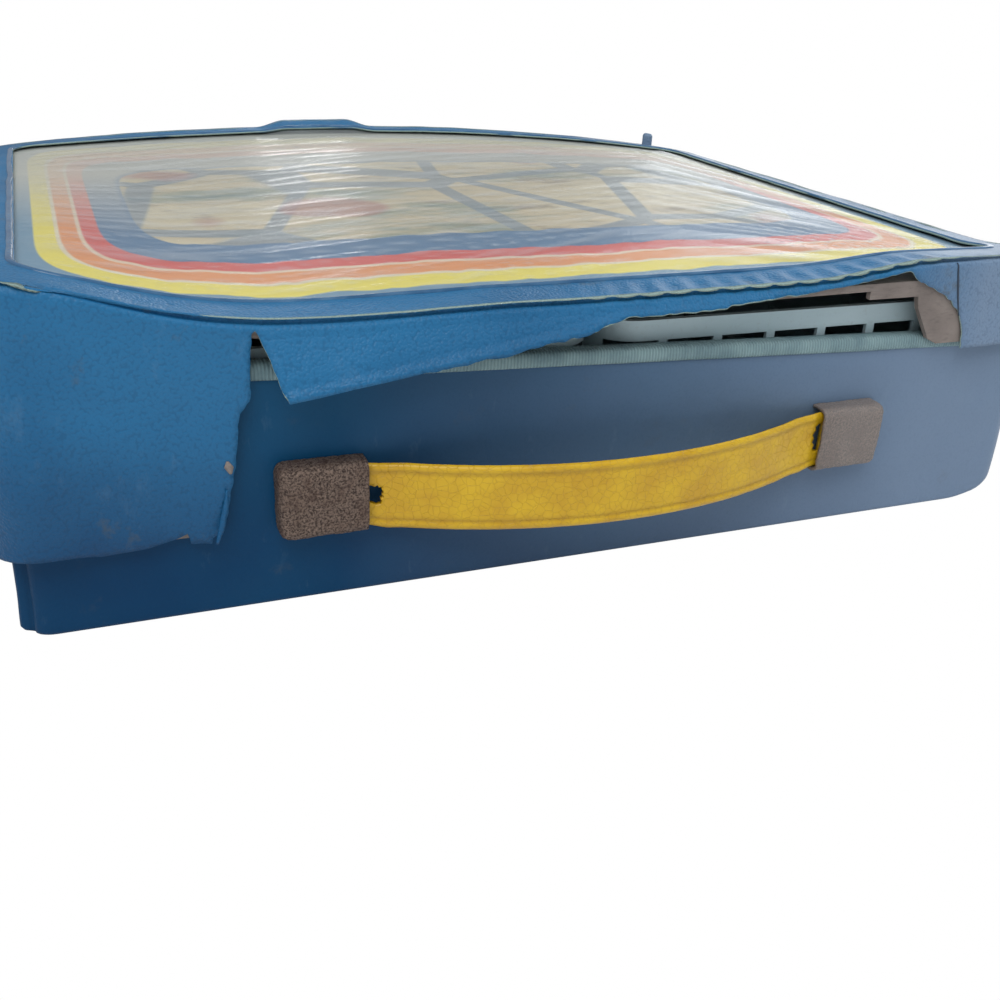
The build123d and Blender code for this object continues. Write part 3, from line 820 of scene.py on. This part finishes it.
def cover_offset(u, v):
    """Puckers, dents, folds and the crease of the lid's cover, along its normal."""
    point, normal = lid_outline.at(u)
    x = point[:, 0]
    front = normal[:, 1] < -0.7
    wavy = 0.9 * flat_noise(u, v, 34, 1) + 0.35 * flat_noise(u, v, 11, 2)
    calm = 1 - 0.9 * smooth(normal[:, 1], 0.6, 0.95) * smooth(v, 0, 5)
    closing = smooth(np.minimum(u, lid_outline.length - u), 0, 14)
    amount = wavy * (0.35 + 0.9 * smooth(v, 4, 30)) * calm * closing
    crease_at = front_crease(x)
    fade = smooth(x, -166, -158) * (1 - smooth(x, 128, 142))
    groove = -groove_depth * hump(v, crease_at, 0.9) * fade
    lip = 0.35 * hump(v, crease_at + 2.4, 1.3) * fade + 0.25 * hump(v, crease_at - 2.4, 1.5) * fade
    pucker_zone = smooth(x, -25, 20) * (1 - smooth(x, 118, 134))
    dimples = 0.5 + 0.5 * np.cos(2 * pi * (x + 0.5 * v) / pucker_pitch + 1.2 * flat_noise(u, v, 30, 6))
    puckers = -pucker_depth * dimples * hump(v, -7.5, 3.8) * pucker_zone
    amount = np.where(front, amount + groove + lip + puckers, amount)
    over_flap = front & (x > flap_left) & (x < flap_right) & (v > crease_depth)
    flap_end = np.interp(x, (-99.5, -83, -64, -40, -26, -9, 2, 26),
                         (21.6, 19.0, 16.8, 14.3, 12.4, 9.6, 6.6, 6.4))
    hem = hem_roll * hump(v, flap_end - 1.2, 1.1) - 0.5 * hump(v, flap_end - 3.4, 1.0)
    amount = np.where(over_flap, amount * 0.5 + hem * (x < 10), amount)
    side = smooth(-point[:, 0], 150, 172) * smooth(-point[:, 1], 60, 120)
    amount += skirt_bulge * side * smooth(v, 12, 66)
    return amount


def make_lid_cover():
    uv, triangles = cut_sheet([cover_loop()], sheet_step)
    points = displaced(place_cover, uv, cover_offset(uv[:, 0], uv[:, 1]))
    piece = new_piece("lid_cover_skin", points, triangles, lid_vinyl, backing)
    weld(piece, 0.05)
    face_outwards(piece)
    thicken(piece, lid_skin_thickness, lined=True)
    return piece


lid_skin = make_lid_cover()
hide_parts("lid_cover", "lid_front_flap")
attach(lid_skin, "lid")


# Small things on the lid's cover: a dark seam at the right, a chip of card and a curled sliver at the tear
def lay_strip(name, line, widths, lift, curl, material):
    """A narrow strip along points (x, z) of the front skirt, standing off it by lift and curled outwards."""
    count = 14
    x = np.interp(np.linspace(0, len(line) - 1, count), range(len(line)), [p[0] for p in line])
    z = np.interp(np.linspace(0, len(line) - 1, count), range(len(line)), [p[1] for p in line])
    width = np.interp(np.linspace(0, 1, count), np.linspace(0, 1, len(widths)), widths)
    rows = []
    for side in (-0.5, 0.0, 0.5):
        u = np.array([lid_outline.on_front(a) for a in x + side * width])
        v = np.array([hang(a, b) for a, b in zip(u, z)])
        out = lift + curl * np.linspace(0, 1, count) ** 2 + 0.25 * (side == 0)
        rows.append(displaced(place_cover, np.column_stack((u, v)), cover_offset(u, v) + out))
    piece = new_piece(name, np.concatenate(rows), grid_faces(3, count), material)
    face_front(piece)
    thicken(piece, 0.35)
    return piece


seam_line = ((124.5, 93.0), (126.0, 88.0), (128.0, 81.0), (130.3, 74.2))
seam = lay_strip("lid_seam_line", seam_line, (0.5, 0.9, 0.9, 0.4), 0.1, 0.0, dark_seam)
chip = lay_strip("torn_card_chip", ((-115.6, 49.5), (-115.0, 46.0)), (0.6, 2.6, 0.8), 0.1, 0.8, cardboard)
sliver = lay_strip("torn_sliver", ((-116.2, 41.0), (-116.8, 36.0), (-118.4, 29.5), (-120.0, 26.0)),
                   (0.6, 1.5, 1.8, 0.8), 0.5, 2.6, lid_vinyl)
for piece, material_slot in ((seam, "blue_vinyl"), (chip, "brown_cardboard"), (sliver, "blue_vinyl")):
    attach(piece, "lid")


# Vinyl cover of the tub: walls, rounded base edge and the flat underside
tub_swell = 0.8
corner_fold = 2.4


def make_tub_cover():
    columns = 700
    u = np.linspace(0, tub_outline.length, columns, endpoint=False)
    narrow, normal = tub_outline.at(u)
    wide, wide_normal = tub_wide.at(u, tub_outline)
    top = rim_top(narrow[:, 0], narrow[:, 1]) - hem_drop + 0.6
    at_front = smooth(-narrow[:, 1], 80, 125)
    rounding = base_round + at_front * (6.5 * smooth(narrow[:, 0], 146, 168) - tub_bulge)
    rows = []
    wall_rows = 44
    for k in range(wall_rows):
        z = top + (rounding - top) * k / (wall_rows - 1)
        share = ((1 - smooth(z, 40, 60)) * at_front)[:, None]
        rows.append((narrow + (wide - narrow) * share, z, 1.0))
    right_end = smooth(narrow[:, 0], 120, 150)
    for k in range(1, 13):
        angle = pi / 2 * k / 12
        share = (at_front * (1 - right_end * (1 - cos(angle))))[:, None]
        inward = normal + (wide_normal - normal) * share
        inset = (rounding * (1 - cos(angle)))[:, None]
        foot = narrow + (wide - narrow) * share - inward * inset
        rows.append((foot, rounding * (1 - sin(angle)), cos(angle)))
    for shrink in (0.97, 0.9, 0.8, 0.6, 0.35, 0.05):
        rows.append((foot * shrink, np.zeros(columns), 0.0))
    cloud = []
    for flat, z, wall in rows:
        spot = np.column_stack((flat, z))
        swell = tub_swell * noise_field(spot, 45, 3) + 0.25 * noise_field(spot, 14, 5)
        at_cap = np.zeros(columns)
        for low, high in ((cap_low, cap_high), (right_cap_low, right_cap_high)):
            middle = (low + high) / 2
            away = np.hypot(flat[:, 0] - middle.x, z - middle.z)
            at_cap = np.maximum(at_cap, (1 - smooth(away, 16, 30)) * (flat[:, 1] < 0))
        free = wall * smooth(z, 2, 14) * smooth(top - z, 0, 8) * (1 - at_cap)
        corner_run = u - tub_outline.on_front(-tub_half + tub_corner) + pi / 4 * tub_corner
        fold = -corner_fold * hump(corner_run, -1.0, 1.6) * (1 - smooth(z, 34, 56))
        fold += 0.8 * hump(corner_run, -5, 3)
        moved = flat + normal * (swell * free + fold * max(wall, 0.25))[:, None]
        cloud.append(np.column_stack((moved, z)))
    points = np.concatenate(cloud)
    faces = grid_faces(len(rows), columns, closed=True)
    last = (len(rows) - 1) * columns
    faces.append(tuple(range(last, last + columns)))
    piece = new_piece("tub_cover_skin", points, faces, tub_vinyl)
    face_outwards(piece)
    thicken(piece, tub_skin_thickness)
    return piece


tub_skin = make_tub_cover()
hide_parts("body_cover")
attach(tub_skin, "root")


# Hem tape over the tub's rim
def make_hem():
    columns = 900
    u = np.linspace(0, tub_outline.length, columns, endpoint=False)
    point, normal = tub_outline.at(u)
    top = rim_top(point[:, 0], point[:, 1])
    profile = ((-5.2, -7.9), (-5.2, -2.0), (-5.0, -0.6), (-4.2, 0.0), (-2.5, 0.1), (-0.6, 0.0), (0.1, -0.5),
               (0.32, -1.4), (0.36, -2.6), (0.3, -3.6), (0.05, -3.9))
    sag = 0.25 * noise_field(np.column_stack((point, top)), 25, 8)
    rows = [np.column_stack((point + normal * out, top + up + sag * (out > 0))) for out, up in profile]
    faces = grid_faces(len(profile), columns, closed=True)
    piece = new_piece("rim_hem_tape", np.concatenate(rows), faces, hem_tape)
    layer = piece.data.uv_layers.new(name="run")
    for polygon in piece.data.polygons:
        for loop in polygon.loop_indices:
            index = piece.data.loops[loop].vertex_index
            row, column = divmod(index, columns)
            run = u[column]
            if column == 0 and polygon.center.x < 0 and polygon.vertices[0] % columns > columns // 2:
                run = tub_outline.length
            layer.data[loop].uv = (run, row)
    face_outwards(piece)
    thicken(piece, hem_thickness)
    return piece


hem = make_hem()
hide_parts("body_hem")
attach(hem, "root")


# Weld bead round the window
def make_bead():
    columns = 900
    u = np.linspace(0, lid_outline.length, columns, endpoint=False)
    point, normal = window_outline.at(u, lid_outline)
    wander = 0.5 * flat_noise(*point.T, 16, 11)
    rows = []
    for k in range(9):
        angle = pi * k / 8
        out = bead_width / 2 * (1 - cos(angle)) + 0.15
        flat = point + normal * (out + wander)[:, None]
        z = lid_top(flat[:, 0], flat[:, 1]) - 0.35 + 0.95 * sin(angle)
        rows.append(np.column_stack((flat, z)))
    faces = grid_faces(9, columns, closed=True)
    piece = new_piece("window_weld_seam", np.concatenate(rows), faces, weld_seam)
    face_outwards(piece)
    thicken(piece, 0.25)
    return piece


bead = make_bead()
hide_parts("window_weld_bead")
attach(bead, "lid")


# Clear window, wrinkled
wrinkle_turn = 12.0
wrinkle_height = 0.65
fan_height = 0.9


def window_wrinkles(x, y):
    """Height of the window's wrinkles and how sharply they are creased."""
    along = radians(wrinkle_turn)
    turned = x * cos(along) + y * sin(along)
    across = -x * sin(along) + y * cos(along)
    fine = flat_noise(turned, across, (60, 5.5, 1), 21)
    slow = flat_noise(turned, across, (130, 16, 1), 22)
    fan_x = x - (window_half + 60)
    fan_y = y - (window_front - 70)
    bearing = np.arctan2(fan_y, -fan_x)
    distance = np.hypot(fan_x, fan_y)
    fan = flat_noise(bearing * 150, distance, (6, 120, 1), 23)
    right = smooth(x - 0.35 * y, 30, 125)
    ridge = (1 - np.abs(fan) * 2.6) * right
    height = wrinkle_height * (fine + 0.8 * slow) * (1 - 0.6 * right) + fan_height * ridge * right
    crease = np.clip(1 - np.abs(fine) * 6, 0, 1) * (1 - right) * 0.45 + np.clip(ridge, 0, 1) ** 2 * right
    return height, np.clip(crease, 0, 1)


def make_window():
    grown = Outline(window_half + window_seam, window_front - window_seam, window_back + window_seam,
                    window_corner + window_seam)
    loop = divided([tuple(p) for p in grown.points[::4]], 2.0)
    flat, triangles = cut_sheet([loop], 2.0)
    x, y = flat[:, 0], flat[:, 1]
    height, crease = window_wrinkles(x, y)
    rim = np.minimum.reduce((window_half - np.abs(x), y - window_front, window_back - y))
    free = smooth(rim, 0, 14)
    z = lid_top(x, y) - vinyl - 0.1 + (np.clip(height, -0.2, 3) + 0.5) * free
    piece = new_piece("clear_window", np.column_stack((flat, z)), triangles, clear_vinyl)
    face_outwards(piece)
    # The crease mark whitens the window along its crests: crease whitening together with painted highlight.
    mark_points(piece, "crease", crease * free)
    return piece


window = make_window()
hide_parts("lid_window")
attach(window, "lid")


# Handle caps
cap_corner = 3.2
cap_grid = 0.45


def make_cap(name, low, high, mouth, seed):
    """A pressed cap, open at the wall and at its mouth, pitted all over."""
    size = high - low
    middle = (low + high) / 2
    half = np.array((size.x, size.y, size.z)) / 2
    points = []
    faces = []
    for facing, sign in ((1, -1), (0, -mouth), (2, 1), (2, -1)):
        a, b = [k for k in (0, 1, 2) if k != facing]
        na = int(size[a] / cap_grid)
        nb = int(size[b] / cap_grid)
        first = len(points)
        for i in range(na + 1):
            for j in range(nb + 1):
                p = np.zeros(3)
                p[facing] = sign * half[facing]
                p[a] = half[a] * (2 * i / na - 1)
                p[b] = half[b] * (2 * j / nb - 1)
                points.append(p)
        faces += [tuple(first + k for k in quad) for quad in grid_faces(na + 1, nb + 1)]
    points = np.array(points)
    core = half - cap_corner
    core_low = -core.copy()
    core_high = core.copy()
    core_high[1] = half[1]
    if mouth > 0:
        core_high[0] = half[0]
    else:
        core_low[0] = -half[0]
    nearest = np.clip(points, core_low, core_high)
    away = points - nearest
    length = np.maximum(np.linalg.norm(away, axis=1, keepdims=True), 1e-9)
    rounded = np.where(length > 1e-6, nearest + away / length * np.minimum(length, cap_corner), points)
    out = away / length
    place = rounded + np.array((middle.x, middle.y, middle.z))
    pits = 0.16 * noise_field(place, 1.3, seed) + 0.10 * noise_field(place, 0.6, seed + 1)
    dents = 0.25 * noise_field(place, 7, seed + 2)
    place = place + out * (pits + dents - 0.1)[:, None]
    piece = new_piece(name, place, faces, pitted_metal)
    weld(piece, 0.12)
    bm = bmesh.new()
    bm.from_mesh(piece.data)
    bmesh.ops.recalc_face_normals(bm, faces=bm.faces)
    bm.to_mesh(piece.data)
    bm.free()
    face_front(piece)
    thicken(piece, cap_thickness)
    return piece


left_cap = make_cap("handle_cap_left_shell", cap_low, cap_high, 1, 31)
right_cap = make_cap("handle_cap_right_shell", right_cap_low, right_cap_high, -1, 41)
for cap, cad_node in ((left_cap, "handle_cap_left"), (right_cap, "handle_cap_right")):
    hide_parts(cad_node)
    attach(cap, "root")


# Strap, one moulding bowed away from the wall, with ribs along its edges
strap_thick = 2.2
strap_inside = 9.0
strap_bow = 16.0
strap_end_radius = 32.0
strap_from_wall = 4.4
handle_x = (right_cap_low.x + cap_high.x) / 2
strap_half_run = right_cap_low.x - handle_x
strap_wall_y = tub_front - strap_from_wall
strap_mid_z = (strap_low.z + strap_high.z) / 2
strap_height = strap_high.z - strap_low.z
strap_sag = 0.7
strap_spread = 0.05
rib_height = 0.35
rib_inset = 2.4
# Outlines of the damage, as distances past the left and the right cap's mouth and above the middle
worn_slot = ((-2, -2.6), (1.2, -2.9), (2.6, -3.1), (4.1, -2.6), (4.4, -1.6), (3.9, -1.0), (4.9, -0.4),
             (4.3, 0.3), (4.8, 1.1), (4.2, 2.2), (4.6, 2.9), (3.4, 2.6), (2.9, 3.3), (2.2, 2.7), (1.0, 3.1),
             (-2, 2.6))
broken_notch = ((2, -4.6), (-0.5, -4.2), (-1.4, -3.0), (-0.9, -1.6), (-2.2, -0.4), (-1.5, 1.0), (-2.6, 2.4),
                (-1.2, 3.8), (-1.8, 5.2), (0.2, 6.0), (2, 6.2))


def strap_path():
    """The strap's centre line from the left end to the right, as points and running length."""
    run = strap_half_run
    bow_angle = 2 * atan(strap_bow / run)
    main_radius = run / sin(bow_angle) - strap_end_radius
    left = [(-run - strap_inside, 0.0), (-run, 0.0)]
    for k in range(1, 13):
        a = bow_angle * k / 12
        left.append((-run + strap_end_radius * sin(a), -strap_end_radius * (1 - cos(a))))
    x0, y0 = left[-1]
    for k in range(1, 41):
        a = bow_angle * (1 - k / 40)
        left.append((x0 + main_radius * (sin(bow_angle) - sin(a)),
                     y0 - main_radius * (cos(a) - cos(bow_angle))))
    right = [(-x, y) for x, y in reversed(left[:-1])]
    line = np.array(left + right)
    line += (handle_x, strap_wall_y)
    return line, running_length(line)


strap_line, strap_run = strap_path()


def place_strap(s, w):
    x = np.interp(s, strap_run, strap_line[:, 0])
    y = np.interp(s, strap_run, strap_line[:, 1])
    free = smooth(np.minimum(s, strap_run[-1] - s), strap_inside, strap_inside + 7)
    return np.column_stack((x, y, strap_mid_z + w * (1 + strap_spread * free) - strap_sag * free))


def make_strap():
    length = strap_run[-1]
    half = strap_height / 2
    loop = divided([(0, -half), (length, -half), (length, half), (0, half)], 0.8)
    slot = [(strap_inside + s, w) for s, w in worn_slot]
    notch = [(length - strap_inside + s, w) for s, w in broken_notch]
    uv, triangles = cut_sheet([loop, divided(slot, 0.5), divided(notch, 0.5)], 0.8)
    s, w = uv[:, 0], uv[:, 1]
    ridge_at = half - rib_inset
    ridge = rib_height * hump(np.abs(w), ridge_at + 0.9, 0.75) - 0.3 * hump(np.abs(w), ridge_at - 0.4, 0.4)
    groove = hump(np.abs(w), ridge_at - 0.4, 0.5)
    edge = -0.55 * smooth(np.abs(w), half - 0.9, half)
    rough = 0.12 * flat_noise(s, w, 5, 51) + 0.05 * flat_noise(s, w, 1.6, 52)
    e = 0.3
    tangent = place_strap(s + e, w) - place_strap(s - e, w)
    out = np.column_stack((tangent[:, 1], -tangent[:, 0], np.zeros(len(s))))
    out /= np.linalg.norm(out, axis=1, keepdims=True)
    held = 1 - smooth(np.minimum(s, length - s), strap_inside - 0.5, strap_inside + 3.5)
    relief = (ridge + rough) * (1 - held) - 0.6 * held
    points = place_strap(s, w) + out * (strap_thick / 2 + relief + edge)[:, None]
    piece = new_piece("handle_strap", points, triangles, strap_yellow)
    mark_points(piece, "groove", groove)
    face_front(piece)
    thicken(piece, strap_thick)
    return piece


strap = make_strap()
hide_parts("handle_strap_left", "handle_strap_right")
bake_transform(strap)


# Vinyl hinge along the back, one sheet from the tub to the lid
def make_hinge():
    rows = 61
    columns = 121
    zs = np.linspace(tape_low.z, lid_tape_high.z, rows)
    xs = np.linspace(tape_low.x, tape_high.x, columns)
    cloud = []
    for z in zs:
        swell = 0.12 * flat_noise(xs, np.full(columns, z), 12, 61)
        cloud.append(np.column_stack((xs, np.full(columns, tape_high.y - 0.2) + swell, np.full(columns, z))))
    piece = new_piece("hinge_strip", np.concatenate(cloud), grid_faces(rows, columns), tub_vinyl)
    face_outwards(piece)
    thicken(piece, 0.6)
    return piece


hinge = make_hinge()
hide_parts("hinge_tape_body", "hinge_tape_lid")
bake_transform(hinge)


# Finishes of the CAD nodes that stay
def dress(name, material):
    mesh = nodes[name].data
    mesh.materials.clear()
    mesh.materials.append(material)


for name in nodes:
    if name.endswith("_board"):
        dress(name, cardboard)
    elif name.startswith("tray_"):
        dress(name, tray_plastic)
    elif name.startswith("handle_rivet"):
        dress(name, pitted_metal)
dress("picture_card", printed_card)
dress("corner_pip", lid_vinyl)


# Floor, light and camera
def make_floor():
    """A floor that the camera sees as white."""
    size = 3.0
    mesh = bpy.data.meshes.new("floor")
    corners = [(-size, -size, 0), (size, -size, 0), (size, size, 0), (-size, size, 0)]
    mesh.from_pydata(corners, [], [(0, 1, 2, 3)])
    material, tree, shader = new_material("floor_white")
    set_inputs(tree, shader, {"Base Color": (0.9, 0.9, 0.9), "Roughness": 0.8})
    seen = add_node(tree, "Emission", {"Color": (1, 1, 1), "Strength": 1.0}).outputs[0]
    camera_ray = add_node(tree, "LightPath", {}).outputs["Is Camera Ray"]
    either = add_node(tree, "MixShader", {0: camera_ray, 1: shader.outputs[0], 2: seen}).outputs[0]
    set_inputs(tree, tree.nodes["Material Output"], {"Surface": either})
    mesh.materials.append(material)
    floor = put("floor", mesh)


def make_world():
    """Soft light all round, seen as white by the camera."""
    world = bpy.data.worlds.new("studio")
    bpy.context.scene.world = world
    world.use_nodes = True
    tree = world.node_tree
    background = tree.nodes["Background"]
    set_inputs(tree, background, {"Color": (0.92, 0.95, 1.0), "Strength": 0.42})
    seen = add_node(tree, "Background", {"Color": (1, 1, 1), "Strength": 1.0}).outputs[0]
    path = add_node(tree, "LightPath", {})
    either = combined(tree, "MAXIMUM", path.outputs["Is Camera Ray"], path.outputs["Is Transmission Ray"])
    blend = add_node(tree, "MixShader", {0: either, 1: background.outputs[0], 2: seen}).outputs[0]
    set_inputs(tree, tree.nodes["World Output"], {"Surface": blend})


def area_light(name, place, target, size, power, colour=(1, 1, 1)):
    light = bpy.data.lights.new(name, "AREA")
    light.size = size
    light.energy = power
    light.color = colour
    lamp = put(name, light)
    lamp.location = place
    lamp.rotation_euler = (Vector(target) - Vector(place)).to_track_quat("-Z", "Y").to_euler()


def make_camera():
    data = bpy.data.cameras.new("camera")
    data.lens = camera_lens
    data.sensor_width = sensor
    data.clip_start = 0.01
    camera = put("camera", data)
    yaw, pitch, roll = (radians(a) for a in (camera_yaw, camera_pitch, camera_roll))
    forward = Vector((sin(yaw) * cos(pitch), cos(yaw) * cos(pitch), sin(pitch)))
    right = Vector((cos(yaw), -sin(yaw), 0))
    up = right.cross(forward)
    across = right * cos(roll) + up * sin(roll)
    upright = up * cos(roll) - right * sin(roll)
    turn = Matrix((across, upright, -forward)).transposed()
    camera.matrix_world = Matrix.Translation(Vector(camera_place) * MM) @ turn.to_4x4()
    bpy.context.scene.camera = camera


make_floor()
make_world()
area_light("key", place=(-0.5, -0.75, 1.5), target=(0, 0, 0.05), size=1.2, power=17.5)
area_light("right", place=(0.85, -0.35, 0.75), target=(0.12, -0.13, 0.09), size=0.6, power=2,
           colour=(0.95, 0.98, 1.0))
area_light("sheen", place=(1.05, 0.85, 0.46), target=(0.08, -0.1, 0.09), size=0.9, power=4.5,
           colour=(0.93, 0.97, 1.0))
area_light("patch", place=(0.17, 1.06, 0.26), target=(-0.03, 0.06, 0.10), size=0.13, power=0.3)
make_camera()
bpy.context.scene.view_settings.view_transform = "Standard"
